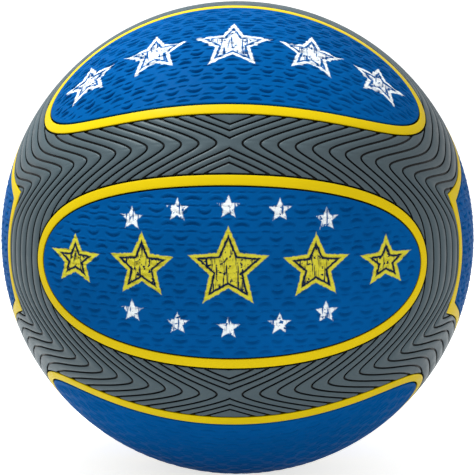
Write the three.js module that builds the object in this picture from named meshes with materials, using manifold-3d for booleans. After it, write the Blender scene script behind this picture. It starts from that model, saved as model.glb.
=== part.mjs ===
// Rubber basketball: bladder, thread winding, carcass, eight panels with trims, two tread halves and a valve.
// Millimetres, +Z up, origin at the ball's centre.
// X runs through the two end panels. The front panel faces -Y and the valve sits in the rear panel, at +Y.
import * as THREE from "three";
import Module from "manifold-3d";

// Driving dimensions of the cover, measured along the ball's surface
const BALL_DIAMETER = 242;
const BAND_WIDTH = 30.9;
const END_BAND_WIDTH = 32.6;
const TRIM_WIDTH = 5.9;
const TRIM_END_WIDTH = 5.3;
const END_PANEL_REACH = 48.6;
const END_CORNER_FLARE = 14;
const END_INNER_FLARE = 9;

// Driving dimensions of the tread's main grooves. Each is a row of bends, one on the middle of every band
// between two long panels, whose arms curve towards the end. Their places are counted from the mould line.
const FIRST_GROOVE = -19.2;
const GROOVE_SPACING = 16.9;
const GROOVE_WIDTH = 1.5;
const GROOVE_DEPTH = 0.9;
const GROOVE_RISE = 53.9;
const GROOVE_ARM_REACH = 21.5;

// Share by which a groove's rise falls with its place
const GROOVE_RISE_LOSS = 0.26;

// Driving dimensions of the layers
const COVER_THICKNESS = 1.6;
const CARCASS_THICKNESS = 0.6;
const WINDING_THICKNESS = 0.3;
const BLADDER_THICKNESS = 0.6;
const SEAM_GAP = 0.3;
const LAYER_GAP = 0.3;
const COVER_GAP = 0.7;

// Driving dimensions of the valve
const PLUG_DIAMETER = 6.6;
const PLUG_TIP_DIAMETER = 4;
const PLUG_LENGTH = 20;
const PLUG_CAP_LIP = 0.9;
const PLUG_CAP_THICKNESS = 1;
const NEEDLE_HOLE_DIAMETER = 1.8;
const NEEDLE_HOLE_DEPTH = 6;
const HOUSING_WALL = 1.1;
const HOUSING_FLANGE_WIDTH = 6.5;
const HOUSING_FLANGE_THICKNESS = 1.4;
const VALVE_RECESS = 0.5;

// How sharply the end panel's trim and the panel inside it run out into their corners
const OUTER_CORNER_POWER = 2.6;
const INNER_CORNER_POWER = 2;

// Long panels in order around the X axis, from the front over the top
const PANEL_PLACES = ["front", "upper_front", "upper_rear", "rear", "lower_rear", "lower_front"];
const VALVE_PLACE = "rear";

// Colours and surface finish of the pieces
const BLUE = { color: 0x0a5ea8, roughness: 0.4 };
const YELLOW = { color: 0xe6cb12, roughness: 0.4 };
const GREY = { color: 0x5f6b70, roughness: 0.7 };
const BLACK = { color: 0x1b1b1d, roughness: 0.7 };
const TAN = { color: 0xb7a27c, roughness: 0.8 };
const DARK_RED = { color: 0x5b2a26, roughness: 0.5 };

// How finely the round shapes are cut into flat faces
const QUARTER_STEPS = 12;
const END_SIDE_STEPS = 4;
const PANEL_CELLS = 6;
const TREAD_CELLS = 3;
const GROOVE_ARM_STEPS = 5;
const GROOVE_STEP_POWER = 1.6;
const PLAIN_LINES = 2;
const END_RINGS = 3;
const SHELL_STEPS = 12;
const ROUND_SIDES = 24;

// Points closer than this are one point
const WELD_DISTANCE = 1e-4;

// Radii of the layers, from the outside in
const ballRadius = BALL_DIAMETER / 2;
const coverInner = ballRadius - COVER_THICKNESS;
const carcassOuter = coverInner - COVER_GAP;
const windingOuter = carcassOuter - CARCASS_THICKNESS - LAYER_GAP;
const bladderOuter = windingOuter - WINDING_THICKNESS - LAYER_GAP;
const bladderInner = bladderOuter - BLADDER_THICKNESS;

// Angles of the cover's pattern: latitude runs from the middle plane to the ends, turn runs round the X axis
const quarter = Math.PI / 2;
const sector = (2 * Math.PI) / PANEL_PLACES.length;
const halfSector = sector / 2;
const along = (length) => length / ballRadius;
const halfSeam = along(SEAM_GAP) / 2;
const trimHalfWidth = halfSector - along(BAND_WIDTH) / 2;
const endSideLatitude = quarter - along(END_PANEL_REACH);
const trimHalfLength = endSideLatitude - along(END_BAND_WIDTH);
const panelHalfWidth = trimHalfWidth - along(TRIM_WIDTH);
const panelHalfLength = trimHalfLength - along(TRIM_END_WIDTH);

// Valve sizes that follow from the driving ones. Heights in the valve are counted from its outer face.
const boreRadius = PLUG_DIAMETER / 2 + SEAM_GAP;
const capRadius = PLUG_DIAMETER / 2 + PLUG_CAP_LIP;
const seatRadius = capRadius + SEAM_GAP;
const neckRadius = seatRadius + HOUSING_WALL;
const flangeRadius = neckRadius + HOUSING_FLANGE_WIDTH;
const valveHoleRadius = neckRadius + SEAM_GAP;
const valveFace = ballRadius - VALVE_RECESS;
const flangeTop = Math.sqrt(bladderInner ** 2 - flangeRadius ** 2) - LAYER_GAP - valveFace;

const wasm = await Module();
wasm.setup();

// A point of the pattern at a radius, less the depth of a groove there
function pointAt({ latitude, turn, depth = 0 }, radius) {
  const across = Math.cos(latitude);
  const way = new THREE.Vector3(Math.sin(latitude), -across * Math.cos(turn), across * Math.sin(turn));
  return way.multiplyScalar(radius - depth);
}

// A point of a long panel's ellipse. Share runs from -1 to 1 across the panel at that place on its length.
function ellipsePoint(halfLength, halfWidth, step, share) {
  const t = (quarter * step) / QUARTER_STEPS;
  const latitude = halfLength * Math.cos(t);
  const height = Math.sin(halfWidth * Math.sin(t) * share);
  return { latitude, turn: Math.asin(height / Math.cos(latitude)) };
}

// How far a turn lies between the middle of an end panel's side, 0, and its corner, 1
function towardsCorner(turn) {
  return Math.abs(turn - sector * Math.round(turn / sector)) / halfSector;
}

// Latitude of the outer edge of an end panel's trim
function endOuterEdge(turn) {
  return endSideLatitude - along(END_CORNER_FLARE) * towardsCorner(turn) ** OUTER_CORNER_POWER;
}

// Latitude of the edge between an end panel and its trim
function endInnerEdge(turn) {
  const flare = along(END_INNER_FLARE) * towardsCorner(turn) ** INNER_CORNER_POWER;
  return endSideLatitude + along(TRIM_END_WIDTH) - flare;
}

// Turns of the points along an end panel's edge
function endTurns() {
  const count = 2 * END_SIDE_STEPS * PANEL_PLACES.length;
  return Array.from({ length: count + 1 }, (_, step) => (2 * Math.PI * step) / count);
}

// Triangles between rows of pattern points that have the same number of points
function grid(rows) {
  const patch = [];
  for (let i = 0; i + 1 < rows.length; i += 1) {
    for (let j = 0; j + 1 < rows[i].length; j += 1) {
      const [a, b, c, d] = [rows[i][j], rows[i][j + 1], rows[i + 1][j + 1], rows[i + 1][j]];
      patch.push([a, b, c], [a, c, d]);
    }
  }
  return patch;
}

// Joins points that lie at one place and drops triangles that have shrunk to a line
function weld(positions, triangles) {
  const numbers = new Map();
  const kept = [];
  const renumbered = positions.map((p) => {
    const key = p.toArray().map((value) => Math.round(value / WELD_DISTANCE)).join(" ");
    if (!numbers.has(key)) {
      numbers.set(key, kept.length);
      kept.push(p);
    }
    return numbers.get(key);
  });
  const whole = triangles
    .map((triangle) => triangle.map((i) => renumbered[i]))
    .filter(([a, b, c]) => a !== b && b !== c && c !== a);
  return { positions: kept, triangles: whole };
}

function toGeometry(positions, triangles) {
  const geometry = new THREE.BufferGeometry();
  const values = positions.flatMap((p) => p.toArray());
  geometry.setAttribute("position", new THREE.Float32BufferAttribute(values, 3));
  geometry.setIndex(triangles.flat());
  geometry.computeVertexNormals();
  return geometry;
}

// Groups a flat list of point numbers into triangles
function inThrees(numbers) {
  return Array.from({ length: numbers.length / 3 }, (_, i) => Array.from(numbers.slice(3 * i, 3 * i + 3)));
}

// A cover piece: a patch of the ball's surface, made into a solid that reaches in to another radius
function coverPiece(patch, outerRadius = ballRadius, innerRadius = coverInner) {
  const points = patch.flat().map((p) => pointAt(p, outerRadius));
  const { positions, triangles } = weld(points, inThrees(points.map((_, i) => i)));
  const outward = triangles.map(([a, b, c]) => {
    const side = positions[b].clone().sub(positions[a]);
    const normal = side.cross(positions[c].clone().sub(positions[a]));
    return normal.dot(positions[a]) > 0 ? [a, b, c] : [a, c, b];
  });
  const count = positions.length;
  const inner = positions.map((p) => p.clone().setLength(innerRadius));
  const lining = outward.map(([a, b, c]) => [a + count, c + count, b + count]);
  const edges = new Set(outward.flatMap(([a, b, c]) => [`${a} ${b}`, `${b} ${c}`, `${c} ${a}`]));
  const walls = [];
  for (const edge of edges) {
    const [a, b] = edge.split(" ").map(Number);
    if (!edges.has(`${b} ${a}`)) {
      walls.push([b, a, a + count], [b, a + count, b + count]);
    }
  }
  return toGeometry([...positions, ...inner], [...outward, ...lining, ...walls]);
}

// A solid turned around the Y axis. The profile's corners are [radius, height] and run anticlockwise.
function turned(corners) {
  const profile = [...corners, corners[0]].map(([radius, height]) => new THREE.Vector2(radius, height));
  const lathe = new THREE.LatheGeometry(profile, ROUND_SIDES);
  const place = lathe.getAttribute("position");
  const pointNumbered = (_, i) => new THREE.Vector3().fromBufferAttribute(place, i);
  const points = Array.from({ length: place.count }, pointNumbered);
  const { positions, triangles } = weld(points, inThrees(lathe.getIndex().array));
  return toGeometry(positions, triangles);
}

// A manifold solid from a closed geometry whose shared points are merged
function toSolid(geometry) {
  return new wasm.Manifold(new wasm.Mesh({
    numProp: 3,
    vertProperties: new Float32Array(geometry.getAttribute("position").array),
    triVerts: new Uint32Array(geometry.getIndex().array),
  }));
}

function fromSolid(solid) {
  const mesh = solid.getMesh();
  const positions = inThrees(mesh.vertProperties).map((p) => new THREE.Vector3(...p));
  return toGeometry(positions, inThrees(mesh.triVerts));
}

// Cuts a straight round hole for the valve through the middle of a panel that faces -Y
function withValveHole(panel) {
  const low = -ballRadius - COVER_THICKNESS;
  const high = -carcassOuter;
  const cutter = turned([[0, low], [valveHoleRadius, low], [valveHoleRadius, high], [0, high]]);
  return fromSolid(toSolid(panel).subtract(toSolid(cutter)));
}

// Long panel: columns of points across the ellipse, closing to one point at each tip
function longPanel() {
  const columns = [];
  for (let step = 0; step <= 2 * QUARTER_STEPS; step += 1) {
    const column = [];
    for (let j = 0; j <= PANEL_CELLS; j += 1) {
      const share = (2 * j) / PANEL_CELLS - 1;
      column.push(ellipsePoint(panelHalfLength - halfSeam, panelHalfWidth - halfSeam, step, share));
    }
    columns.push(column);
  }
  return coverPiece(grid(columns));
}

// Trim of a long panel: a strip between two ellipses
function longTrim() {
  const rows = [];
  for (let step = 0; step <= 4 * QUARTER_STEPS; step += 1) {
    rows.push([
      ellipsePoint(panelHalfLength + halfSeam, panelHalfWidth + halfSeam, step, 1),
      ellipsePoint(trimHalfLength - halfSeam, trimHalfWidth - halfSeam, step, 1),
    ]);
  }
  return coverPiece(grid(rows));
}

// End panel: rings of points from the end's centre out to the cornered edge
function endPanel() {
  const rows = [];
  for (let ring = 0; ring <= END_RINGS; ring += 1) {
    const share = ring / END_RINGS;
    rows.push(endTurns().map((turn) => {
      const reach = quarter - endInnerEdge(turn) - halfSeam;
      return { latitude: quarter - reach * share, turn };
    }));
  }
  return coverPiece(grid(rows));
}

// Trim of an end panel
function endTrim() {
  return coverPiece(grid(endTurns().map((turn) => [
    { latitude: endInnerEdge(turn) - halfSeam, turn },
    { latitude: endOuterEdge(turn) + halfSeam, turn },
  ])));
}

// One row of the smallest part of a tread half's outline, from a panel's trim out to the band's middle or the
// end trim
function treadRow(i) {
  const cornerStep = QUARTER_STEPS - END_SIDE_STEPS;
  const near = ellipsePoint(trimHalfLength + halfSeam, trimHalfWidth + halfSeam, QUARTER_STEPS - i, 1);
  near.latitude = Math.max(near.latitude, halfSeam);
  const far = { latitude: halfSeam, turn: halfSector };
  if (i > cornerStep) {
    far.turn = (halfSector * (QUARTER_STEPS - i)) / END_SIDE_STEPS;
    far.latitude = endOuterEdge(far.turn) - halfSeam;
  } else if (i > 0) {
    const reach = (step) => Math.sin((quarter * step) / QUARTER_STEPS);
    far.latitude = ((endOuterEdge(halfSector) - halfSeam) * reach(i)) / reach(cornerStep);
  }
  const row = [];
  for (let j = 0; j <= TREAD_CELLS; j += 1) {
    const share = j / TREAD_CELLS;
    row.push({
      latitude: THREE.MathUtils.lerp(near.latitude, far.latitude, share),
      turn: THREE.MathUtils.lerp(near.turn, far.turn, share),
    });
  }
  return row;
}

// One row of points across the grooves, at an angle from the band's middle: both lips and the floor of each.
// Lines without a groove go on with the pattern past the mould line and the end trim.
function grooveRow(angle) {
  const turn = halfSector - angle;
  const reach = along(GROOVE_ARM_REACH);
  const share = Math.tanh(angle / reach);
  const count = Math.ceil((endOuterEdge(halfSector) - along(FIRST_GROOVE)) / along(GROOVE_SPACING));
  const row = [];
  for (let number = -PLAIN_LINES; number <= count; number += 1) {
    const place = along(FIRST_GROOVE + number * GROOVE_SPACING);
    const rise = along(GROOVE_RISE) - GROOVE_RISE_LOSS * place;
    const latitude = place + rise * share;
    if (number < 0 || number === count) {
      row.push({ latitude, turn });
    } else {
      const slope = (rise * (1 - share ** 2)) / reach / Math.cos(latitude);
      const halfWidth = (along(GROOVE_WIDTH) / 2) * Math.hypot(1, slope);
      row.push({ latitude: latitude - halfWidth, turn });
      row.push({ latitude, turn, depth: GROOVE_DEPTH });
      row.push({ latitude: latitude + halfWidth, turn });
    }
  }
  return row;
}

// Mirrors the smallest part of a pattern about each panel's middle and repeats it round the ball
function roundTheBall(part) {
  return PANEL_PLACES.flatMap((_, k) => [1, -1].flatMap((side) => part.map((triangle) => (
    triangle.map((p) => ({ ...p, turn: k * sector + side * p.turn }))
  ))));
}

// Tread half: a grooved zone of the ball, cut to the outline between the trims
function tread() {
  const outlinePart = grid(Array.from({ length: QUARTER_STEPS + 1 }, (_, i) => treadRow(i)));
  const outline = coverPiece(roundTheBall(outlinePart), ballRadius + COVER_THICKNESS);
  const groovePart = grid(Array.from({ length: GROOVE_ARM_STEPS + 1 }, (_, i) => (
    grooveRow(halfSector * (i / GROOVE_ARM_STEPS) ** GROOVE_STEP_POWER)
  )));
  const zone = coverPiece(roundTheBall(groovePart), ballRadius, carcassOuter - COVER_THICKNESS);
  return fromSolid(toSolid(outline).intersect(toSolid(zone)));
}

// Round shell with a hole for the valve at +Y, with a ring of points over the housing flange's edge
function shell(outerRadius, thickness) {
  const flangeAngle = Math.asin(flangeRadius / bladderInner);
  const stepAngle = (Math.PI - 2 * flangeAngle) / SHELL_STEPS;
  const arc = (radius) => {
    const points = [[0, -radius]];
    for (let i = 1; i <= SHELL_STEPS; i += 1) {
      points.push([radius * Math.sin(i * stepAngle), -radius * Math.cos(i * stepAngle)]);
    }
    points.push([radius * Math.sin(flangeAngle), radius * Math.cos(flangeAngle)]);
    points.push([valveHoleRadius, Math.sqrt(radius ** 2 - valveHoleRadius ** 2)]);
    return points;
  };
  return turned([...arc(outerRadius), ...arc(outerRadius - thickness).reverse()]);
}

// Valve housing: flange inside the bladder, neck through the layers and a pocket that reaches inwards
function valveHousing() {
  const pocketEnd = -PLUG_LENGTH - SEAM_GAP;
  const seatFloor = -PLUG_CAP_THICKNESS - SEAM_GAP;
  const pocketRadius = boreRadius + HOUSING_WALL;
  const flangeBottom = flangeTop - HOUSING_FLANGE_THICKNESS;
  return turned([
    [boreRadius, pocketEnd],
    [pocketRadius, pocketEnd],
    [pocketRadius, flangeBottom - pocketRadius],
    [neckRadius, flangeBottom],
    [flangeRadius, flangeBottom],
    [flangeRadius, flangeTop],
    [neckRadius, flangeTop],
    [neckRadius, 0],
    [seatRadius, 0],
    [seatRadius, seatFloor],
    [boreRadius, seatFloor],
  ]);
}

// Valve plug: capped stem with a blind hole that leads the needle in
function valvePlug() {
  const stemRadius = PLUG_DIAMETER / 2;
  const tipRadius = PLUG_TIP_DIAMETER / 2;
  const leadRadius = NEEDLE_HOLE_DIAMETER / 2;
  return turned([
    [0, -PLUG_LENGTH],
    [tipRadius, -PLUG_LENGTH],
    [stemRadius, stemRadius - PLUG_LENGTH],
    [stemRadius, -PLUG_CAP_THICKNESS],
    [capRadius, -PLUG_CAP_THICKNESS],
    [capRadius, 0],
    [leadRadius, 0],
    [leadRadius, -NEEDLE_HOLE_DEPTH],
    [0, -NEEDLE_HOLE_DEPTH - leadRadius],
  ]);
}

function piece(name, geometry, finish) {
  const mesh = new THREE.Mesh(geometry, new THREE.MeshStandardMaterial(finish));
  mesh.name = name;
  return mesh;
}

const ball = new THREE.Group();
ball.name = "basketball";

// Inner layers
ball.add(piece("bladder", shell(bladderOuter, BLADDER_THICKNESS), BLACK));
ball.add(piece("thread_winding", shell(windingOuter, WINDING_THICKNESS), TAN));
ball.add(piece("carcass", shell(carcassOuter, CARCASS_THICKNESS), BLACK));

// Valve, in a group that sits at its outer face
const valve = new THREE.Group();
valve.position.y = valveFace;
valve.add(piece("valve_housing", valveHousing(), BLACK));
valve.add(piece("valve_plug", valvePlug(), DARK_RED));
ball.add(valve);

// Long panels with their trims, each pair in a group that is turned to its place
PANEL_PLACES.forEach((place, k) => {
  const pair = new THREE.Group();
  pair.rotation.x = -k * sector;
  pair.add(piece(`panel_${place}`, place === VALVE_PLACE ? withValveHole(longPanel()) : longPanel(), BLUE));
  pair.add(piece(`trim_${place}`, longTrim(), YELLOW));
  ball.add(pair);
});

// End panels with their trims and the tread halves, the left ones turned half round
[["right", 0], ["left", Math.PI]].forEach(([hand, angle]) => {
  const half = new THREE.Group();
  half.rotation.z = angle;
  half.add(piece(`end_panel_${hand}`, endPanel(), BLUE));
  half.add(piece(`end_trim_${hand}`, endTrim(), YELLOW));
  half.add(piece(`tread_${hand}`, tread(), GREY));
  ball.add(half);
});

export default ball;
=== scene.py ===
# Looks of the rubber basketball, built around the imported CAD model. Metres, in the CAD's frame.
# X runs through the two end panels, the front panel faces -Y and the valve sits in the rear panel, at +Y.
import math

import bpy
import numpy as np
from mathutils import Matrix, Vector


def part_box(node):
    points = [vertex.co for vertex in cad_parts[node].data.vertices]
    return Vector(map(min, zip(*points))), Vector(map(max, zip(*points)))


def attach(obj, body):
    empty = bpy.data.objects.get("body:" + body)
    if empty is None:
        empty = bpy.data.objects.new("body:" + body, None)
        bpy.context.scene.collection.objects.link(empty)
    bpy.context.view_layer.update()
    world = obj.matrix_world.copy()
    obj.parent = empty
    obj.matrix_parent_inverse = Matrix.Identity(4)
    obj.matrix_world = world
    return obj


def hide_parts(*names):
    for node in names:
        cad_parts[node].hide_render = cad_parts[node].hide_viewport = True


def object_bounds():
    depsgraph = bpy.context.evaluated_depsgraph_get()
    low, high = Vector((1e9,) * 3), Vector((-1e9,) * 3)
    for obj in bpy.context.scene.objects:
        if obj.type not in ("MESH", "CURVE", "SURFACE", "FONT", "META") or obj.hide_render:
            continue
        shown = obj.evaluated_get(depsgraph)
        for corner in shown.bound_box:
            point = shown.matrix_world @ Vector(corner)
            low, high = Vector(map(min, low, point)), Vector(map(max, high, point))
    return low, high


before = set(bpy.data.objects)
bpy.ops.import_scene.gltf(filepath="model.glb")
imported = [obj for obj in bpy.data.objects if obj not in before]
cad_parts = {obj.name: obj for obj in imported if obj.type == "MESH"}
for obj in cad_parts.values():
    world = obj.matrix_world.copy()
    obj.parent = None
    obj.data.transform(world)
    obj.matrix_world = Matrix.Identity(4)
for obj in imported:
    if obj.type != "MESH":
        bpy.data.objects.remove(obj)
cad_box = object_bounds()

MM = 0.001

# The cover's pattern, measured along the ball's surface
BAND_WIDTH = 30.9 * MM
END_BAND_WIDTH = 32.6 * MM
TRIM_WIDTH = 5.9 * MM
TRIM_END_WIDTH = 5.3 * MM
END_PANEL_REACH = 48.6 * MM
END_CORNER_FLARE = 14 * MM
END_INNER_FLARE = 9 * MM
OUTER_CORNER_POWER = 2.6
INNER_CORNER_POWER = 2
PANEL_PLACES = ["front", "upper_front", "upper_rear", "rear", "lower_rear", "lower_front"]
VALVE_PLACE = "rear"

# The cover's thickness, the groove between its pieces and the rounding of their edges
COVER_THICKNESS = 1.6 * MM
SEAM_WIDTH = 0.9 * MM
EDGE_RADIUS = 0.3 * MM
EDGE_DEGREES = (30, 60, 90)
SKIN_CLEARANCE = 0.05 * MM
MOULD_LINE = 0.005 * MM

# The trims' cross-section: a low crown between edges that are rounded through two more points
TRIM_STEPS = 360
TRIM_CROWN = 0.06 * MM
CROWN_PLACE = 0.25
CROWN_SHARE = 0.3
ARC_NEAR = 0.13
ARC_FAR = 0.5

# The tread's grooves. Each is a row of bends on the middle of the bands, whose arms curve towards the end.
# Their places are counted from the mould line. Every second one is in the CAD model too.
FIRST_GROOVE = -19.2 * MM
GROOVE_SPACING = 8.45 * MM
GROOVE_COUNT = 18
TREAD_START = -40.2 * MM
TREAD_END = 131 * MM
GROOVE_RISE = 53.9 * MM
GROOVE_RISE_LOSS = 0.26
GROOVE_ARM_REACH = 21.5 * MM
GROOVE_BEND_ROUNDING = 3 * MM
GROOVE_WIDTH = 2.1 * MM
GROOVE_DEPTH = 1.0 * MM

# The groove's cross-section: places in half widths, and depths as shares of the whole depth
GROOVE_PLACES = (-1.0, -0.5, -0.38, 0.38, 0.5, 1.0)
GROOVE_SHARES = (0.0, 0.3, 1.0, 1.0, 0.3, 0.0)

# Rows of the tread's mesh, in degrees from the band's middle, closest together at the bends
FINE_REACH = 2.4
FINE_STEP = 0.3
MEDIUM_REACH = 9.0
MEDIUM_STEP = 0.6
COARSE_ROWS = 24

# The panels' moulded relief: rows of dimples, arched down and up by turns, each under a raised lip,
# and dashes between the rows
DIMPLE_PITCH = 11.5 * MM
DIMPLE_ROW = 6.25 * MM
FIRST_ROW = 4.4 * MM
DIMPLE_HALF_LENGTH = 3.8 * MM
DIMPLE_WIDTH = 2.4 * MM
DIMPLE_ARCH = 1.3 * MM
DIMPLE_DEPTH = 0.9 * MM
LIP_HEIGHT = 0.2 * MM
DASH_HALF_LENGTH = 2.6 * MM
DASH_WIDTH = 1.3 * MM
DASH_ARCH = 0.3 * MM
DASH_DEPTH = 0.5 * MM
PANEL_MARGIN = 2 * MM

# Where a dimple's lip, steep wall and run-out lie across it, in widths from its upper edge
LIP_START = -0.45
LIP_TOP = -0.1
LIP_END = 0.1
WALL_END = 0.25
RUN_OUT_START = 0.3
RUN_OUT_END = 1

# How far one dimple differs from the next, and the numbers that set the four kinds of difference apart
ALONG_SCATTER = 0.5 * MM
ACROSS_SCATTER = 0.3 * MM
LENGTH_SCATTER = 0.15
DEPTH_SCATTER = 0.25
ALONG, ACROSS, LENGTH, DEPTH = range(1, 5)
ROW_WAVE = 12.9898
COLUMN_WAVE = 78.233
KIND_WAVE = 37.719
WAVE_HEIGHT = 43758.5453

# Cells of the panels' mesh, along and across
PANEL_CELL = (0.95 * MM, 0.36 * MM)

# The valve, with heights counted from its outer face
PLUG_RADIUS = 3.3 * MM
PLUG_TIP_RADIUS = 2 * MM
PLUG_LENGTH = 20 * MM
PLUG_RING_PLACES = (-13 * MM, -8 * MM)
PLUG_RING_WIDTH = 1.2 * MM
PLUG_RING_HEIGHT = 0.35 * MM
CAP_LIP = 0.9 * MM
CAP_THICKNESS = 1 * MM
CAP_DOME = 0.25 * MM
NEEDLE_HOLE_RADIUS = 0.9 * MM
NEEDLE_HOLE_DEPTH = 6 * MM
LEAD_IN_RADIUS = 1.44 * MM
LEAD_IN_DEPTH = 0.5 * MM
VALVE_GAP = 0.3 * MM
HOUSING_WALL = 1.1 * MM
FLANGE_WIDTH = 6.5 * MM
FLANGE_THICKNESS = 1.4 * MM
NECK_DROP = 0.1 * MM
VALVE_ROUNDING = 0.25 * MM
BLADDER_INNER = 116.5 * MM

# The shallow dish in the skin around the valve. Shares of its radius give its floor and the nearest dimples.
DISH_RADIUS = 12 * MM
DISH_DEPTH = 0.45 * MM
DISH_FLOOR_SHARE = 0.6
DISH_CLEAR_SHARE = 1.3

# Radii of the valve's fitting faces
cap_radius = PLUG_RADIUS + CAP_LIP
bore_radius = PLUG_RADIUS + VALVE_GAP
seat_radius = cap_radius + VALVE_GAP
neck_radius = seat_radius + HOUSING_WALL
flange_radius = neck_radius + FLANGE_WIDTH
flange_height = math.sqrt(BLADDER_INNER ** 2 - flange_radius ** 2) - VALVE_GAP

# The ball's radii, and the angles of its pattern in radians
ball_radius = (cad_box[1].x - cad_box[0].x) / 2
skin_radius = ball_radius - SKIN_CLEARANCE
lining_radius = ball_radius - COVER_THICKNESS
sector = 2 * math.pi / len(PANEL_PLACES)
trim_half_width = sector / 2 - BAND_WIDTH / ball_radius / 2
end_side_latitude = math.pi / 2 - END_PANEL_REACH / ball_radius
trim_half_length = end_side_latitude - END_BAND_WIDTH / ball_radius
panel_half_width = trim_half_width - TRIM_WIDTH / ball_radius
panel_half_length = trim_half_length - TRIM_END_WIDTH / ball_radius
half_seam = SEAM_WIDTH / 2 / ball_radius
edge_inset = half_seam + EDGE_RADIUS / ball_radius


# Points on the ball

def on_panel(along, across, radius):
    """Points at two angles from the front panel's middle, along its length and across it."""
    x = np.sin(along)
    z = np.sin(across)
    y = -np.sqrt(1 - x * x - z * z)
    return np.stack([x, y, z], axis=-1) * np.asarray(radius)[..., None]


def on_band(latitude, turn, radius):
    """Points at a latitude towards the right end and a turn from the front over the top."""
    level = np.cos(latitude)
    way = np.stack([np.sin(latitude), -level * np.cos(turn), level * np.sin(turn)], axis=-1)
    return way * np.asarray(radius)[..., None]


def turned(points, turn):
    """Points turned about the X axis, from the front over the top."""
    x, y, z = points.T
    cosine = math.cos(turn)
    sine = math.sin(turn)
    return np.stack([x, y * cosine + z * sine, z * cosine - y * sine], axis=1)


def towards_corner(turn):
    """0 in the middle of an end panel's side and 1 at its corners."""
    return np.abs(turn - sector * np.round(turn / sector)) / (sector / 2)


def end_outer_edge(turn):
    """Latitude of an end trim's outer edge."""
    return end_side_latitude - END_CORNER_FLARE / ball_radius * towards_corner(turn) ** OUTER_CORNER_POWER


def end_inner_edge(turn):
    """Latitude of an end trim's inner edge."""
    flare = END_INNER_FLARE * towards_corner(turn) ** INNER_CORNER_POWER
    return end_side_latitude + (TRIM_END_WIDTH - flare) / ball_radius


# Meshes

WELD = 1e-6
SNAP = 0.03 * MM
SHARP_ANGLE = math.radians(38)
LATHE_SIDES = 64
CORNER_ROOM = 0.45

# Each piece's flat map: its outer faces lie below its lining, and a bare edge is left around both
BAKE_MAP = "OFBake"
OUTER_MAP_SHARE = 0.69
LINING_MAP_START = 0.7
LINING_MAP_SHARE = 0.29
MAP_WALL = 2 * EDGE_RADIUS
MAP_SPAN = 2.1
TREAD_MAP_SPAN = 0.96


def unit(vectors):
    return vectors / np.linalg.norm(vectors, axis=1, keepdims=True)


def welded(points, triangles):
    """Joins points at one place and drops triangles that have shrunk to a line."""
    keys = np.round(points / WELD).astype(np.int64)
    _, first, number = np.unique(keys, axis=0, return_index=True, return_inverse=True)
    triangles = number.reshape(-1)[triangles]
    a, b, c = triangles.T
    triangles = triangles[(a != b) & (b != c) & (c != a)]
    used, packed = np.unique(triangles, return_inverse=True)
    return points[first][used], packed.reshape(-1, 3)


def led_by(triangles, chosen):
    """Triangles with their corners turned round so that the first chosen one leads."""
    order = (chosen.argmax(axis=1)[:, None] + np.arange(3)) % 3
    return triangles[np.arange(len(triangles))[:, None], order]


def clipped(points, triangles, level):
    """The part of a triangle mesh where level is above zero. A point may carry further values."""
    level = np.where(np.abs(level) < SNAP, 0, level)
    inside = level > 0
    count = inside[triangles].sum(axis=1)
    lone = triangles[count == 1]
    lone = led_by(lone, inside[lone])
    pair = triangles[count == 2]
    pair = led_by(pair, ~inside[pair])
    cuts = np.concatenate([lone[:, [0, 1]], lone[:, [0, 2]], pair[:, [1, 0]], pair[:, [2, 0]]])
    cuts, number = np.unique(cuts, axis=0, return_inverse=True)
    number = number.reshape(-1) + len(points)
    i, j = cuts.T
    share = (level[i] / (level[i] - level[j]))[:, None]
    points = np.concatenate([points, points[i] + share * (points[j] - points[i])])
    one, two, three, four = np.split(number, np.cumsum([len(lone), len(lone), len(pair)]))
    kept = [
        triangles[count == 3],
        np.stack([lone[:, 0], one, two], axis=1),
        np.stack([pair[:, 1], pair[:, 2], four], axis=1),
        np.stack([pair[:, 1], four, three], axis=1),
    ]
    used, packed = np.unique(np.concatenate(kept), return_inverse=True)
    return points[used], packed.reshape(-1, 3)


def grid_triangles(rows, columns):
    """Triangles of a grid of points that are numbered row by row."""
    corner = (np.arange(rows - 1)[:, None] * columns + np.arange(columns - 1)).reshape(-1)
    halves = [[corner, corner + 1, corner + columns + 1], [corner, corner + columns + 1, corner + columns]]
    return np.concatenate([np.stack(half, axis=1) for half in halves])


def new_object(name, points, faces, places=None):
    """An object with smooth faces and sharp creases. Places are a map's two coordinates for each corner."""
    mesh = bpy.data.meshes.new(name)
    mesh.from_pydata(points.tolist(), [], faces)
    mesh.shade_smooth()
    mesh.set_sharp_from_angle(angle=SHARP_ANGLE)
    if places is not None:
        mesh.uv_layers.new(name=BAKE_MAP).data.foreach_set("uv", places.reshape(-1))
    made = bpy.data.objects.new(name, mesh)
    bpy.context.scene.collection.objects.link(made)
    return made


def facing_out(points, triangles):
    """Triangles turned over where they face the ball's middle."""
    a, b, c = (points[triangles[:, k]] for k in range(3))
    inwards = (np.cross(b - a, c - a) * a).sum(axis=1) < 0
    return np.where(inwards[:, None], triangles[:, ::-1], triangles)


def border_edges(triangles, count):
    """Starts and ends of the edges that only one triangle has."""
    edges = np.concatenate([triangles[:, [0, 1]], triangles[:, [1, 2]], triangles[:, [2, 0]]])
    codes = edges[:, 0] * count + edges[:, 1]
    return edges[~np.isin(codes, edges[:, 1] * count + edges[:, 0])].T


def border_ways(points, start, end):
    """Directions that lead out of a mesh at its border, along the ball."""
    outward = np.zeros_like(points)
    push = np.cross(points[end] - points[start], unit(points[start]))
    np.add.at(outward, start, push)
    np.add.at(outward, end, push)
    return outward


def rim_steps():
    """How far out and how far down each ring of a rim lies. The last one, at None, is on the lining."""
    angles = np.radians(EDGE_DEGREES)
    steps = [(EDGE_RADIUS * math.sin(a), EDGE_RADIUS * (1 - math.cos(a))) for a in angles]
    return steps + [(steps[-1][0], None)]


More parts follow.
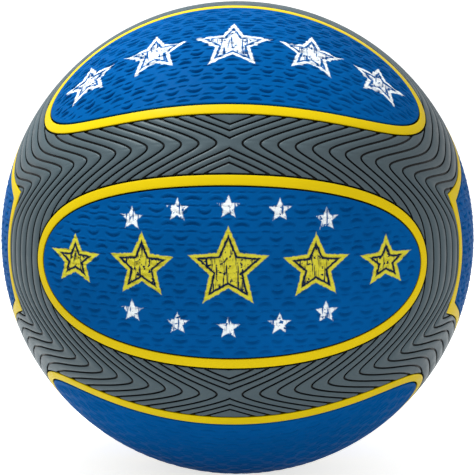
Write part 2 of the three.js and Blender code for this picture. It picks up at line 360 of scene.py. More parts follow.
def cover_piece(name, top, triangles, flat, square=None):
    """A closed piece of the cover: outer surface, rounded rim, wall and lining.
    Flat gives the map's place of a direction. Square says which points keep a square edge."""
    top, triangles = welded(top, triangles)
    triangles = facing_out(top, triangles)
    start, end = border_edges(triangles, len(top))
    rim = np.unique([start, end])
    reach = np.linalg.norm(top[rim], axis=1, keepdims=True)
    way = unit(border_ways(top, start, end)[rim])
    whole_rim = np.full(len(rim), True)
    rounded_edge = whole_rim if square is None else ~square(top[rim])
    rounding = rounded_edge[:, None]
    points = [top]
    map_points = [top]
    faces = triangles.tolist()
    last = np.arange(len(top))
    for out, drop in rim_steps():
        on_lining = drop is None
        direction = unit(top[rim] / reach + way * out / reach * rounding)
        height = lining_radius if on_lining else reach - drop * rounding
        map_width = out + (MAP_WALL if on_lining else drop)
        moved = whole_rim if on_lining else rounded_edge
        ring = last.copy()
        ring[rim[moved]] = sum(len(p) for p in points) + np.arange(moved.sum())
        points.append((direction * height)[moved])
        map_points.append(unit(top[rim] / reach + way * map_width / reach)[moved])
        quads = np.stack([last[end], last[start], ring[start], ring[end]], axis=1).tolist()
        faces += [face for face in map(list, map(dict.fromkeys, quads)) if len(face) > 2]
        last = ring
    outer_faces = len(faces)
    inside = np.setdiff1d(np.arange(len(top)), rim)
    lining = last.copy()
    lining[inside] = sum(len(p) for p in points) + np.arange(len(inside))
    points.append(unit(top[inside]) * lining_radius)
    map_points.append(top[inside])
    faces += lining[triangles[:, ::-1]].tolist()
    places = flat(unit(np.concatenate(map_points)))
    corners = np.fromiter((number for face in faces for number in face), int)
    lined = np.repeat(np.arange(len(faces)) >= outer_faces, [len(face) for face in faces])
    spots = places[corners]
    lining_spots = LINING_MAP_START + LINING_MAP_SHARE * spots[:, 1]
    spots[:, 1] = np.where(lined, lining_spots, OUTER_MAP_SHARE * spots[:, 1])
    return new_object(name, np.concatenate(points), faces, spots)


def closed_strip(name, rows):
    """A closed band: each row holds its points from the inner to the outer edge and back underneath."""
    count = len(rows)
    width = len(rows[0])
    faces = []
    spots = []
    for i in range(count):
        for j in range(width):
            k = (i + 1) % count
            m = (j + 1) % width
            faces.append([i * width + j, i * width + m, k * width + m, k * width + j])
            u = [i / count, (i + 1) / count]
            v = [j / width, (j + 1) / width]
            spots += [[u[0], v[0]], [u[0], v[1]], [u[1], v[1]], [u[1], v[0]]]
    return new_object(name, np.concatenate(rows), faces, np.array(spots))


def lathe(name, profile, height):
    """A closed solid turned about the Y axis. The profile's corners are radius and level, anticlockwise."""
    rounds = np.arange(LATHE_SIDES) * 2 * math.pi / LATHE_SIDES
    points = []
    rings = []
    for radius, level in profile:
        turns = [0.0] if radius == 0 else rounds
        rings.append(range(len(points), len(points) + len(turns)))
        points += [[radius * math.sin(t), height + level, radius * math.cos(t)] for t in turns]
    faces = []
    for i, lower in enumerate(rings):
        upper = rings[(i + 1) % len(rings)]
        for k in range(LATHE_SIDES):
            m = (k + 1) % LATHE_SIDES
            corners = [lower[k % len(lower)], lower[m % len(lower)]]
            corners += [upper[m % len(upper)], upper[k % len(upper)]]
            face = list(dict.fromkeys(corners))
            if len(face) > 2:
                faces.append(face)
    return new_object(name, np.array(points), faces)


def rounded(corners, radius):
    """A profile with each corner cut by a short arc of three points. Corners on the axis stay."""
    made = []
    count = len(corners)
    for k, corner in enumerate(corners):
        here = np.array(corner, float)
        if here[0] == 0:
            made.append(tuple(here))
            continue
        before = np.array(corners[k - 1], float) - here
        after = np.array(corners[(k + 1) % count], float) - here
        room = CORNER_ROOM * min(np.linalg.norm(before), np.linalg.norm(after))
        cut = min(radius, room)
        first = here + before / np.linalg.norm(before) * cut
        last = here + after / np.linalg.norm(after) * cut
        middle = (2 * here + (first + last)) / 4
        made += [tuple(first), tuple(middle), tuple(last)]
    return made


# Colours and materials

def srgb(red, green, blue):
    """A colour from its usual 0 to 255 values."""
    def linear(value):
        value /= 255
        return value / 12.92 if value <= 0.04045 else ((value + 0.055) / 1.055) ** 2.4
    return (linear(red), linear(green), linear(blue), 1)


BLUE = srgb(3, 83, 149)
YELLOW = srgb(224, 194, 12)
GREY = srgb(75, 88, 94)
BLACK = srgb(24, 25, 27)
TAN = srgb(183, 162, 124)
DARK_RED = srgb(91, 42, 38)
PRINT_WHITE = srgb(242, 246, 248)
PRINT_YELLOW = srgb(214, 205, 60)
PRINT_DARK = srgb(12, 30, 62)
FLOOR_WHITE = srgb(248, 248, 248)

# Rubber's cloudy colour, uneven polish and fine grain. Scales are in cells to the metre.
CLOUD_SCALE = 28
CLOUD_DETAIL = 4
POLISH_SCALE = 160
POLISH_DETAIL = 3
POLISH_GAIN = 0.05
POLISH_LOSS = 0.07
GRAIN_DETAIL = 3
GRAIN_HEIGHT = 0.1 * MM

# The range that most of a noise's values lie in
NOISE_RANGE = (0.3, 0.7)


class Shader:
    """A node material with short ways to add and link its nodes."""

    def __init__(self, name):
        self.material = bpy.data.materials.new(name)
        self.material.use_nodes = True
        self.tree = self.material.node_tree
        self.surface = self.tree.nodes["Principled BSDF"]
        self.place = self.node("ShaderNodeTexCoord").outputs["Object"]
        self.base = None

    def node(self, kind, **settings):
        made = self.tree.nodes.new(kind)
        for key, value in settings.items():
            setattr(made, key, value)
        return made

    def feed(self, socket, value):
        if isinstance(value, bpy.types.NodeSocket):
            self.tree.links.new(value, socket)
        else:
            socket.default_value = value

    def colour(self, base):
        self.base = base
        self.feed(self.surface.inputs["Base Color"], base)

    def math(self, operation, *values):
        made = self.node("ShaderNodeMath", operation=operation)
        for socket, value in zip(made.inputs, values):
            self.feed(socket, value)
        return made.outputs[0]

    def noise(self, scale, detail, place=None):
        made = self.node("ShaderNodeTexNoise")
        self.feed(made.inputs["Vector"], place or self.place)
        made.inputs["Scale"].default_value = scale
        made.inputs["Detail"].default_value = detail
        return made.outputs["Fac"]

    def mapping(self, place, turn, scale):
        made = self.node("ShaderNodeMapping")
        self.feed(made.inputs["Vector"], place)
        made.inputs["Rotation"].default_value = (turn, 0, 0)
        made.inputs["Scale"].default_value = scale
        return made.outputs[0]

    def spread(self, value, low, high, to_low=0.0, to_high=1.0):
        """Maps a value from one range to another, held at its ends."""
        made = self.node("ShaderNodeMapRange")
        for key, number in zip(("From Min", "From Max", "To Min", "To Max"), (low, high, to_low, to_high)):
            made.inputs[key].default_value = number
        self.feed(made.inputs["Value"], value)
        return made.outputs["Result"]

    def mix(self, share, first, second):
        made = self.node("ShaderNodeMix", data_type="RGBA")
        self.feed(made.inputs["Factor"], share)
        self.feed(made.inputs["A"], first)
        self.feed(made.inputs["B"], second)
        return made.outputs["Result"]

    def bump(self, height, strength, distance):
        made = self.node("ShaderNodeBump")
        made.inputs["Strength"].default_value = strength
        made.inputs["Distance"].default_value = distance
        self.feed(made.inputs["Height"], height)
        self.feed(self.surface.inputs["Normal"], made.outputs["Normal"])


def shade(colour, factor):
    return tuple(min(1, value * factor) for value in colour[:3]) + (1,)


def rubber(name, colour, roughness, gloss, variation=0.06, grain=900, relief=0.15, recess_shade=None):
    """Moulded rubber: slight cloudy colour, uneven gloss, a fine grain and, with the recess depths set,
    painted shade that darkens its recesses.
    Those depths are where the painted shade begins and ends under the skin, and the share of colour it
    leaves."""
    shader = Shader(name)
    clouds = shader.spread(shader.noise(CLOUD_SCALE, CLOUD_DETAIL), *NOISE_RANGE)
    base = shader.mix(clouds, shade(colour, 1 - variation), shade(colour, 1 + variation))
    # Painted shade: the colour darkens with depth under the skin, in hollows, grooves and the walls of seams
    if recess_shade:
        shallow, deep, left = recess_shade
        size = shader.node("ShaderNodeVectorMath", operation="LENGTH")
        shader.feed(size.inputs[0], shader.place)
        depth = shader.spread(size.outputs["Value"], skin_radius - shallow, skin_radius - deep)
        base = shader.mix(depth, base, shade(colour, left))
    shader.colour(base)
    uneven = shader.noise(POLISH_SCALE, POLISH_DETAIL)
    polish = shader.spread(uneven, *NOISE_RANGE, roughness - POLISH_GAIN, roughness + POLISH_LOSS)
    shader.feed(shader.surface.inputs["Roughness"], polish)
    shader.surface.inputs["Specular IOR Level"].default_value = gloss
    shader.bump(shader.noise(grain, GRAIN_DETAIL), relief, GRAIN_HEIGHT)
    return shader


# Print on the front and the upper front panel, in millimetres: a row of stars on each, from the middle
# outwards and mirrored, and small white stars on two arcs over and under the front panel's row

STAR_POINTS = 5
STAR_WAIST = 0.46
FRONT_ROW = 3
FRONT_STARS = [((0, FRONT_ROW), 20), ((41, FRONT_ROW), 16), ((74, FRONT_ROW), 12.5)]
UPPER_ROW = -1
UPPER_STARS = [((0, UPPER_ROW), 19), ((38, UPPER_ROW), 16), ((71, UPPER_ROW), 13)]
ARC_REACH = 72
ARC_RISE = 28.5
ARC_DEGREES = (0, 19.5, 39.5)
SMALL_STAR_SIZE = 5.4

# The ink: its outline, the gap inside it, soft and uneven edges, and where scratches and specks wear it off
PRINT_OUTLINE = 1.5
PRINT_GAP = 1.1
PRINT_SOFTNESS = 0.25
PRINT_UNEVENNESS = 0.25
SCRATCH_STRETCH = (0.9, 0.02, 0.12)
SCRATCH_SCALE = 1.0
SCRATCH_DETAIL = 2
SCRATCH_WEAR = (0.36, 0.46)
SPECK_SCALE = 0.55
SPECK_DETAIL = 3
SPECK_WEAR = (0.36, 0.42)


def small_stars():
    """Middles and sizes of the small stars."""
    stars = []
    for angle in np.radians(ARC_DEGREES):
        for rise in (-ARC_RISE, ARC_RISE):
            middle = (ARC_REACH * math.sin(angle), FRONT_ROW + rise * math.cos(angle))
            stars.append((middle, SMALL_STAR_SIZE))
    return stars


def star(shader, x, z, middle, size):
    """How far a place lies outside a star with one point up."""
    fold = math.pi / STAR_POINTS
    waist = (STAR_WAIST * math.cos(fold), STAR_WAIST * math.sin(fold))
    side = math.hypot(1 - waist[0], waist[1])
    lean = math.atan2(1 - waist[0], waist[1])
    beside = shader.math("SUBTRACT", x, middle[0])
    above = shader.math("SUBTRACT", z, middle[1])
    squares = [shader.math("MULTIPLY", distance, distance) for distance in (beside, above)]
    reach = shader.math("SQRT", shader.math("ADD", *squares))
    angle = shader.math("PINGPONG", shader.math("ARCTAN2", beside, above), fold)
    across = shader.math("MULTIPLY", reach, shader.math("COSINE", shader.math("SUBTRACT", angle, lean)))
    return shader.math("SUBTRACT", across, size * waist[1] / side)


def nearest_star(shader, x, z, stars):
    """How far a place lies outside the nearest of some stars."""
    outside = None
    for middle, size in stars:
        one = star(shader, x, z, middle, size)
        outside = one if outside is None else shader.math("MINIMUM", outside, one)
    return outside


def inked(shader, edge, depth):
    """1 where an edge's distance is more than a depth inside it."""
    return shader.spread(edge, PRINT_SOFTNESS - depth, -PRINT_SOFTNESS - depth)


def printed(shader, turn, stars, white_stars, ink, gap):
    """Prints worn stars on a panel's skin: outlined ones and plain white ones."""
    place = shader.mapping(shader.place, turn, (1 / MM, 1 / MM, 1 / MM))
    parts = shader.node("ShaderNodeSeparateXYZ")
    shader.feed(parts.inputs[0], place)
    x = shader.math("ABSOLUTE", parts.outputs["X"])
    z = parts.outputs["Z"]
    scratches = shader.noise(SCRATCH_SCALE, SCRATCH_DETAIL, shader.mapping(place, 0, SCRATCH_STRETCH))
    specks = shader.noise(SPECK_SCALE, SPECK_DETAIL, place)
    unscratched = shader.spread(scratches, *SCRATCH_WEAR)
    worn = shader.math("MULTIPLY", unscratched, shader.spread(specks, *SPECK_WEAR))
    uneven = shader.spread(specks, *NOISE_RANGE, -PRINT_UNEVENNESS, PRINT_UNEVENNESS)
    edge = shader.math("ADD", nearest_star(shader, x, z, stars), uneven)
    base = shader.mix(inked(shader, edge, 0), shader.base, ink)
    base = shader.mix(inked(shader, edge, PRINT_OUTLINE), base, gap)
    core = inked(shader, edge, PRINT_OUTLINE + PRINT_GAP)
    base = shader.mix(shader.math("MULTIPLY", core, worn), base, ink)
    if white_stars:
        edge = shader.math("ADD", nearest_star(shader, x, z, white_stars), uneven)
        core = inked(shader, edge, 0)
        base = shader.mix(shader.math("MULTIPLY", core, worn), base, PRINT_WHITE)
    shader.colour(base)
    return shader


# Materials of the pieces

# The recess depths below paint shade into the colour: the dimples' hollows on the blue skin, the trims'
# edges and seam walls in yellow, and the grey tread's groove bottoms, which are painted almost black
SKIN = dict(
    colour=BLUE, roughness=0.4, gloss=0.005, grain=700, relief=0.2, recess_shade=(0.25 * MM, 1.0 * MM, 0.8))
blue_skin = rubber("blue_skin", **SKIN).material
yellow_trim = rubber(
    "yellow_trim", YELLOW, roughness=0.4, gloss=0.05, variation=0.03, grain=1200, relief=0.1,
    recess_shade=(0.2 * MM, 0.8 * MM, 0.05)).material
grey_tread = rubber(
    "grey_tread", GREY, roughness=0.4, gloss=0.12, variation=0.05, grain=1400, relief=0.25,
    recess_shade=(0.32 * MM, 0.55 * MM, 0.02)).material
black_rubber = rubber("black_rubber", BLACK, roughness=0.6, gloss=0.2, variation=0.2).material
tan_thread = rubber(
    "tan_thread", TAN, roughness=0.8, gloss=0.2, variation=0.15, grain=1500, relief=0.6).material
red_rubber = rubber("red_rubber", DARK_RED, roughness=0.5, gloss=0.3, variation=0.1).material

front_print = printed(
    rubber("blue_skin_front_print", **SKIN), 0, FRONT_STARS, small_stars(), PRINT_YELLOW, PRINT_DARK)
upper_print = printed(
    rubber("blue_skin_upper_print", **SKIN), sector, UPPER_STARS, [], PRINT_WHITE, BLUE)
PRINTED = {"front": front_print.material, "upper_front": upper_print.material}


# Panels

def smooth(value, low, high):
    """0 below a range and 1 above it, with a soft rise between."""
    share = np.clip((value - low) / (high - low), 0, 1)
    return share * share * (3 - 2 * share)


def scatter(row, column, kind):
    """A repeatable value from -1 to 1 for a dimple's row and column, and a kind of difference."""
    wave = np.sin(row * ROW_WAVE + column * COLUMN_WAVE + kind * KIND_WAVE) * WAVE_HEIGHT
    return 2 * (wave - np.floor(wave)) - 1


def dimples(along, across, rise, half_length, width, arch, depth):
    """Depth of rows of arched dimples, steep under a raised lip and running out below.
    The lip counts as negative."""
    row = np.round((across - rise - FIRST_ROW) / DIMPLE_ROW)
    bend = np.where(row % 2 == 0, -arch, arch)
    offset = np.where(row % 2 == 0, 0, DIMPLE_PITCH / 2)
    column = np.round((along - offset) / DIMPLE_PITCH)
    beside = along - offset - column * DIMPLE_PITCH - scatter(row, column, ALONG) * ALONG_SCATTER
    above = across - rise - FIRST_ROW - row * DIMPLE_ROW - scatter(row, column, ACROSS) * ACROSS_SCATTER
    place = beside / (half_length * (1 + LENGTH_SCATTER * scatter(row, column, LENGTH)))
    fall = 0.5 + (bend * (0.5 - place ** 2) - above) / width
    hollow = smooth(fall, 0, WALL_END) * (1 - smooth(fall, RUN_OUT_START, RUN_OUT_END))
    lip = smooth(fall, LIP_START, LIP_TOP) * (1 - smooth(fall, LIP_TOP, LIP_END))
    shape = depth * (1 + DEPTH_SCATTER * scatter(row, column, DEPTH)) * hollow - LIP_HEIGHT * lip
    return shape * np.sqrt(np.clip(1 - place ** 2, 0, 1))


def skin_relief(along, across):
    """Depth under the highest lip of the dimples and the dashes between them, at a place on a panel."""
    depth = dimples(along, across, 0, DIMPLE_HALF_LENGTH, DIMPLE_WIDTH, DIMPLE_ARCH, DIMPLE_DEPTH)
    for rise in (-DIMPLE_ROW / 2, DIMPLE_ROW / 2):
        dashes = dimples(along, across, rise, DASH_HALF_LENGTH, DASH_WIDTH, DASH_ARCH, DASH_DEPTH)
        depth = np.where(np.abs(dashes) > np.abs(depth), dashes, depth)
    return depth + LIP_HEIGHT


def panel_grid(half_length, half_width):
    """Places and triangles of a grid over a panel. A place is its angles along and across."""
    columns = int(2 * half_length * ball_radius / PANEL_CELL[0]) | 1
    rows = int(2 * half_width * ball_radius / PANEL_CELL[1]) | 1
    across, along = np.meshgrid(
        np.linspace(-half_width, half_width, rows),
        np.linspace(-half_length, half_length, columns), indexing="ij")
    return np.stack([along.reshape(-1), across.reshape(-1)], axis=1), grid_triangles(rows, columns)


def dished(depth, reach):
    """A skin's depth with the dish around the valve, at distances from the valve's middle."""
    dish = 1 - smooth(reach, DISH_RADIUS * DISH_FLOOR_SHARE, DISH_RADIUS)
    return depth * smooth(reach, DISH_RADIUS, DISH_RADIUS * DISH_CLEAR_SHARE) + DISH_DEPTH * dish


def long_panel(name, turn, shift, hole):
    """A long panel turned to its place. Shift moves its dimples along, and hole is the valve's radius."""
    half_length = panel_half_length - edge_inset
    half_width = panel_half_width - edge_inset

    def margin(places):
        share = np.hypot(places[:, 0] / half_length, places[:, 1] / half_width)
        return (1 - share) * half_width * ball_radius

    places, triangles = panel_grid(half_length, half_width)
    places, triangles = clipped(places, triangles, margin(places))
    if hole:
        reach = np.hypot(np.sin(places[:, 0]), np.sin(places[:, 1])) * ball_radius
        places, triangles = clipped(places, triangles, reach - hole - EDGE_RADIUS)
    along, across = places.T
    depth = skin_relief(along * ball_radius - shift, across * ball_radius)
    depth = depth * smooth(margin(places), 0, PANEL_MARGIN)
    if hole:
        depth = dished(depth, np.hypot(along, across) * ball_radius)
    top = turned(on_panel(along, across, skin_radius - depth), turn)

    def flat(ways):
        front = turned(ways, -turn)[:, [0, 2]]
        return 0.5 + np.arcsin(front) / (MAP_SPAN * np.array([panel_half_length, panel_half_width]))

    return cover_piece(name, top, triangles, flat)


def end_panel(name, side):
    """The end panel on the right, at side 1, or on the left, at side -1."""
    reach = math.pi / 2 - end_inner_edge(sector / 2)

    def margin(places):
        way = on_panel(places[:, 0], places[:, 1], np.ones(len(places)))
        latitude = np.arcsin(np.clip(-way[:, 1], -1, 1))
        turn = np.arctan2(way[:, 2], way[:, 0])
        return (latitude - end_inner_edge(turn) - edge_inset) * ball_radius

    places, triangles = panel_grid(reach, reach)
    places, triangles = clipped(places, triangles, margin(places))
    along, across = places.T
    depth = skin_relief(along * ball_radius, across * ball_radius)
    depth = depth * smooth(margin(places), 0, PANEL_MARGIN)
    x, y, z = on_panel(along, across, skin_radius - depth).T
    top = np.stack([-side * y, -x, z], axis=1)

    def flat(ways):
        return 0.5 + np.arcsin(np.clip(ways[:, [1, 2]], -1, 1)) / (MAP_SPAN * reach)

    return cover_piece(name, top, triangles, flat)


# Trims

def strip_profile():
    """Cross-section of a trim strip: shares of its width and depths under the skin."""
    edge = EDGE_RADIUS / (TRIM_WIDTH - SEAM_WIDTH)
    near = [
        (0, EDGE_RADIUS + TRIM_CROWN),
        (ARC_NEAR * edge, ARC_FAR * EDGE_RADIUS + TRIM_CROWN),
        (ARC_FAR * edge, ARC_NEAR * EDGE_RADIUS + TRIM_CROWN),
        (edge, TRIM_CROWN),
        (CROWN_PLACE, CROWN_SHARE * TRIM_CROWN),
    ]
    far = [(1 - share, depth) for share, depth in reversed(near)]
    lining = COVER_THICKNESS - SKIN_CLEARANCE
    return np.array(near + [(0.5, 0)] + far + [(1, lining), (0, lining)]).T


def long_trim(name, turn):
    """The trim around a long panel, turned to its place."""
    shares, depths = strip_profile()
    inner = (panel_half_length + half_seam, panel_half_width + half_seam)
    outer = (trim_half_length - half_seam, trim_half_width - half_seam)
    rows = []
    for angle in np.arange(TRIM_STEPS) * 2 * math.pi / TRIM_STEPS:
        along = (inner[0] + (outer[0] - inner[0]) * shares) * math.cos(angle)
        across = (inner[1] + (outer[1] - inner[1]) * shares) * math.sin(angle)
        rows.append(turned(on_panel(along, across, skin_radius - depths), turn))
    return closed_strip(name, rows)


def end_trim(name, side):
    """The trim around an end panel. The right one's rows run the other way, so that both face out."""
    shares, depths = strip_profile()
    rows = []
    for turn in np.arange(TRIM_STEPS) * 2 * math.pi / TRIM_STEPS:
        inner = end_inner_edge(turn) - half_seam
        outer = end_outer_edge(turn) + half_seam
        points = on_band(inner + (outer - inner) * shares, np.full(len(shares), turn), skin_radius - depths)
        rows.append(points * (side, 1, 1))
    return closed_strip(name, rows[::-1] if side > 0 else rows)


# Tread

def groove_latitude(start, turn):
    """Latitude of the groove line that crosses the band's middle at a start, its slope and its stretch.
    The slope is per turn, and the stretch is how far the latitude moves with the start."""
    off_middle = turn - sector / 2
    rounding = GROOVE_BEND_ROUNDING / ball_radius
    reach = GROOVE_ARM_REACH / ball_radius
    bend = np.sqrt(off_middle * off_middle + rounding ** 2)
    rise = np.tanh((bend - rounding) / reach)
    height = GROOVE_RISE / ball_radius - GROOVE_RISE_LOSS * start
    latitude = start + height * rise
    slope = height * (1 - rise ** 2) / reach * off_middle / bend
    return latitude, slope, 1 - GROOVE_RISE_LOSS * rise


def tread_rows():
    """Turns of the tread's rows, from one panel's middle to the next."""
    fine = np.arange(-FINE_REACH, FINE_REACH + FINE_STEP / 2, FINE_STEP)
    medium = np.arange(FINE_REACH + MEDIUM_STEP, MEDIUM_REACH + MEDIUM_STEP / 2, MEDIUM_STEP)
    coarse = np.linspace(MEDIUM_REACH + MEDIUM_STEP, math.degrees(sector) / 2, COARSE_ROWS)
    steps = np.concatenate([-coarse[::-1], -medium[::-1], fine, medium, coarse])
    return sector / 2 + np.radians(steps)


def tread_grid():
    """Places and triangles of the grid that follows the grooves between two panels.
    A place is its latitude, turn and depth."""
    turns = tread_rows()
    columns = [(np.full(len(turns), TREAD_START / ball_radius), 0.0)]
    for number in range(GROOVE_COUNT):
        start = (FIRST_GROOVE + number * GROOVE_SPACING) / ball_radius
        latitude, slope, stretch = groove_latitude(start, turns)
        lean = np.sqrt(1 + (slope / np.cos(latitude)) ** 2)
        half = GROOVE_WIDTH / 2 / ball_radius * lean / stretch
        for place, share in zip(GROOVE_PLACES, GROOVE_SHARES):
            columns.append((start + place * half, share * GROOVE_DEPTH))
    columns.append((np.full(len(turns), TREAD_END / ball_radius), 0.0))
    starts = np.stack([start for start, _ in columns], axis=1)
    depths = np.tile([depth for _, depth in columns], (len(turns), 1))
    latitudes, _, _ = groove_latitude(starts, turns[:, None])
    places = np.stack([latitudes, np.repeat(turns[:, None], len(columns), axis=1), depths], axis=-1)
    return places.reshape(-1, 3), grid_triangles(len(turns), len(columns))


def outside_panel(places, middle):
    """How far places lie outside the trim of the panel whose middle is at a turn, in metres."""
    across = np.arcsin(np.clip(np.cos(places[:, 0]) * np.sin(places[:, 1] - middle), -1, 1))
    lengths = places[:, 0] / (trim_half_length + edge_inset)
    widths = across / (trim_half_width + edge_inset)
    return (np.hypot(lengths, widths) - 1) * trim_half_width * ball_radius


def tread_margin(places):
    """How far places lie inside the tread's edges along the trims, in metres."""
    end = (end_outer_edge(places[:, 1]) - edge_inset - places[:, 0]) * ball_radius
    return np.minimum(end, np.minimum(outside_panel(places, 0), outside_panel(places, sector)))


def tread(name, side):
    """The tread's half on the right, at side 1, or on the left, at side -1."""
    places, triangles = tread_grid()
    places, triangles = clipped(places, triangles, places[:, 0] * ball_radius - MOULD_LINE)
    places, triangles = clipped(places, triangles, tread_margin(places))
    points = []
    numbers = []
    for panel in range(0, len(PANEL_PLACES), 2):
        for way in (1, -1):
            turn = panel * sector + way * places[:, 1]
            numbers.append(triangles + sum(len(p) for p in points))
            points.append(on_band(places[:, 0], turn, skin_radius - places[:, 2]) * (side, 1, 1))

    def flat(ways):
        reach = (math.pi / 2 - np.arcsin(np.abs(ways[:, 0]))) / math.pi
        turn = np.arctan2(ways[:, 2], ways[:, 1])
        return 0.5 + TREAD_MAP_SPAN * np.stack([reach * np.cos(turn), reach * np.sin(turn)], axis=1)

    def at_mould_line(rim):
        return np.abs(rim[:, 0]) < 2 * MOULD_LINE

    return cover_piece(name, np.concatenate(points), np.concatenate(numbers), flat, at_mould_line)


# Valve

def valve_plug(face):
    """Plug with a domed cap, a lead-in for the needle and two sealing rings on its stem."""
    tip = -PLUG_LENGTH
    waist = PLUG_RADIUS - PLUG_RING_HEIGHT
    stem = [(PLUG_RADIUS, tip + PLUG_RADIUS)]
    for place in PLUG_RING_PLACES:
        stem += [(PLUG_RADIUS, place - PLUG_RING_WIDTH), (waist, place - PLUG_RING_WIDTH / 2)]
        stem += [(waist, place + PLUG_RING_WIDTH / 2), (PLUG_RADIUS, place + PLUG_RING_WIDTH)]
    profile = [(0, tip), (PLUG_TIP_RADIUS, tip)] + stem + [
        (PLUG_RADIUS, -CAP_THICKNESS),
        (cap_radius, -CAP_THICKNESS),
        (cap_radius, -CAP_DOME),
        (cap_radius / 2, 0),
        (LEAD_IN_RADIUS, -CAP_DOME / 2),
        (NEEDLE_HOLE_RADIUS, -LEAD_IN_DEPTH),
        (NEEDLE_HOLE_RADIUS, -NEEDLE_HOLE_DEPTH),
        (0, -NEEDLE_HOLE_DEPTH - NEEDLE_HOLE_RADIUS),
    ]
    return lathe("valve_plug_rubber", rounded(profile, VALVE_ROUNDING), face)


def valve_housing(face):
    """Housing with a seat for the plug's cap, a blind pocket and a flange inside the bladder."""
    bottom = -PLUG_LENGTH - VALVE_GAP
    seat_level = -CAP_THICKNESS - VALVE_GAP
    flange_top = flange_height - face
    flange_bottom = flange_top - FLANGE_THICKNESS
    pocket = bore_radius + HOUSING_WALL
    profile = [
        (bore_radius, bottom),
        (pocket, bottom),
        (pocket, flange_bottom - pocket),
        (neck_radius, flange_bottom),
        (flange_radius, flange_bottom),
        (flange_radius, flange_top),
        (neck_radius, flange_top),
        (neck_radius, -NECK_DROP),
        (seat_radius, -NECK_DROP),
        (seat_radius, seat_level),
        (bore_radius, seat_level),
    ]
    return lathe("valve_housing_rubber", rounded(profile, VALVE_ROUNDING), face)


# The ball's pieces. Each takes the place of one CAD node, and the inner layers keep their CAD shape.

def finish_piece(made, node, material, body="ball"):
    made.data.materials.append(material)
    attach(made, body)
    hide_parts(node)


def clothe(node, material):
    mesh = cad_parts[node].data
    mesh.materials.clear()
    mesh.materials.append(material)


for number, place in enumerate(PANEL_PLACES):
    hole = neck_radius + VALVE_GAP if place == VALVE_PLACE else None
    shift = DIMPLE_PITCH / 2 if number % 2 else 0
    panel = long_panel(f"panel_{place}_skin", number * sector, shift, hole)
    finish_piece(panel, f"panel_{place}", PRINTED.get(place, blue_skin))
    trim = long_trim(f"trim_{place}_strip", number * sector)
    finish_piece(trim, f"trim_{place}", yellow_trim)

for hand, side in (("right", 1), ("left", -1)):
    finish_piece(end_panel(f"end_panel_{hand}_skin", side), f"end_panel_{hand}", blue_skin)
    finish_piece(end_trim(f"end_trim_{hand}_strip", side), f"end_trim_{hand}", yellow_trim)
    finish_piece(tread(f"tread_{hand}_ribs", side), f"tread_{hand}", grey_tread)

valve_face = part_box("valve_plug")[1].y
finish_piece(valve_plug(valve_face), "valve_plug", red_rubber, "plug")
finish_piece(valve_housing(valve_face), "valve_housing", black_rubber)

clothe("bladder", black_rubber)
clothe("thread_winding", tan_thread)
clothe("carcass", black_rubber)


# Floor, world, lamps and camera

FLOOR_REACH = 40 * ball_radius
FLOOR_GLOW = 0.7
FILL_LEVEL = 0.58
KEY_PLACE = (-0.24, -0.06, 0.6)
KEY_SIZE = 0.2
KEY_POWER = 4.4
KEY_COLOUR = (0.92, 1, 1)
LOW_PLACE = (0.3, -0.58, -0.04)
LOW_SIZE = 0.3
LOW_POWER = 0.8
LOW_COLOUR = (1, 1, 1)
CAMERA_AZIMUTH = math.radians(2.08)
CAMERA_ELEVATION = math.radians(8.41)
CAMERA_DISTANCE = 10.8 * ball_radius
CAMERA_LENS = 192.8
CAMERA_CLIP_END = 100


def tree_math(tree, operation, first, second):
    """A math node in a node tree. The second value is a socket or a number."""
    made = tree.nodes.new("ShaderNodeMath")
    made.operation = operation
    tree.links.new(first, made.inputs[0])
    if isinstance(second, bpy.types.NodeSocket):
        tree.links.new(second, made.inputs[1])
    else:
        made.inputs[1].default_value = second
    return made.outputs[0]


def seen_rays(tree):
    """1 for rays that show the background: straight from the camera, mirrored or passed through."""
    path = tree.nodes.new("ShaderNodeLightPath")
    seen = path.outputs["Is Camera Ray"]
    for other in ("Is Glossy Ray", "Is Transmission Ray"):
        seen = tree_math(tree, "MAXIMUM", seen, path.outputs[other])
    return seen


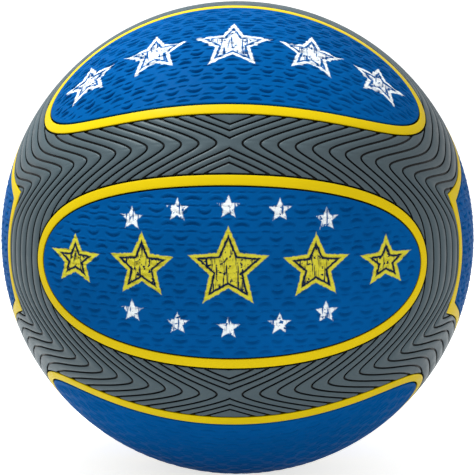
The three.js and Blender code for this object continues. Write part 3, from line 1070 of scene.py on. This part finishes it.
def floor_material():
    """Pale floor that shows white to the camera and keeps a soft shadow."""
    made = bpy.data.materials.new("pale_floor")
    made.use_nodes = True
    tree = made.node_tree
    tree.nodes.remove(tree.nodes["Principled BSDF"])
    diffuse = tree.nodes.new("ShaderNodeBsdfDiffuse")
    diffuse.inputs["Color"].default_value = FLOOR_WHITE
    glow = tree.nodes.new("ShaderNodeEmission")
    tree.links.new(tree_math(tree, "MULTIPLY", seen_rays(tree), FLOOR_GLOW), glow.inputs["Strength"])
    both = tree.nodes.new("ShaderNodeAddShader")
    tree.links.new(diffuse.outputs[0], both.inputs[0])
    tree.links.new(glow.outputs[0], both.inputs[1])
    tree.links.new(both.outputs[0], tree.nodes["Material Output"].inputs["Surface"])
    return made


def add_floor():
    corners = [(-1, -1), (1, -1), (1, 1), (-1, 1)]
    points = np.array([[x * FLOOR_REACH, y * FLOOR_REACH, cad_box[0].z] for x, y in corners])
    floor = new_object("floor", points, [[0, 1, 2, 3]])
    floor.data.materials.append(floor_material())


def add_world():
    """An even white world, dimmer as a light than it looks."""
    world = bpy.data.worlds.new("studio")
    world.use_nodes = True
    tree = world.node_tree
    sky = tree.nodes["Background"]
    sky.inputs["Color"].default_value = (1, 1, 1, 1)
    tree.links.new(tree_math(tree, "MAXIMUM", seen_rays(tree), FILL_LEVEL), sky.inputs["Strength"])
    bpy.context.scene.world = world


def aimed(name, data, place):
    """An object at a place that looks at the ball's middle."""
    made = bpy.data.objects.new(name, data)
    made.location = place
    made.rotation_euler = (-Vector(place)).to_track_quat("-Z", "Y").to_euler()
    bpy.context.scene.collection.objects.link(made)
    return made


def add_lamp(name, place, size, power, colour):
    """A square lamp that faces the ball."""
    lamp = bpy.data.lights.new(name, "AREA")
    lamp.size = size
    lamp.energy = power
    lamp.color = colour
    aimed(name, lamp, place)


def add_camera():
    level = math.cos(CAMERA_ELEVATION)
    way = (math.sin(CAMERA_AZIMUTH) * level, -math.cos(CAMERA_AZIMUTH) * level, math.sin(CAMERA_ELEVATION))
    camera = bpy.data.cameras.new("camera")
    camera.lens = CAMERA_LENS
    camera.clip_end = CAMERA_CLIP_END
    bpy.context.scene.camera = aimed("camera", camera, CAMERA_DISTANCE * Vector(way))


add_floor()
add_world()
add_lamp("key_lamp", KEY_PLACE, KEY_SIZE, KEY_POWER, KEY_COLOUR)
add_lamp("low_lamp", LOW_PLACE, LOW_SIZE, LOW_POWER, LOW_COLOUR)
add_camera()
bpy.context.scene.view_settings.view_transform = "Standard"
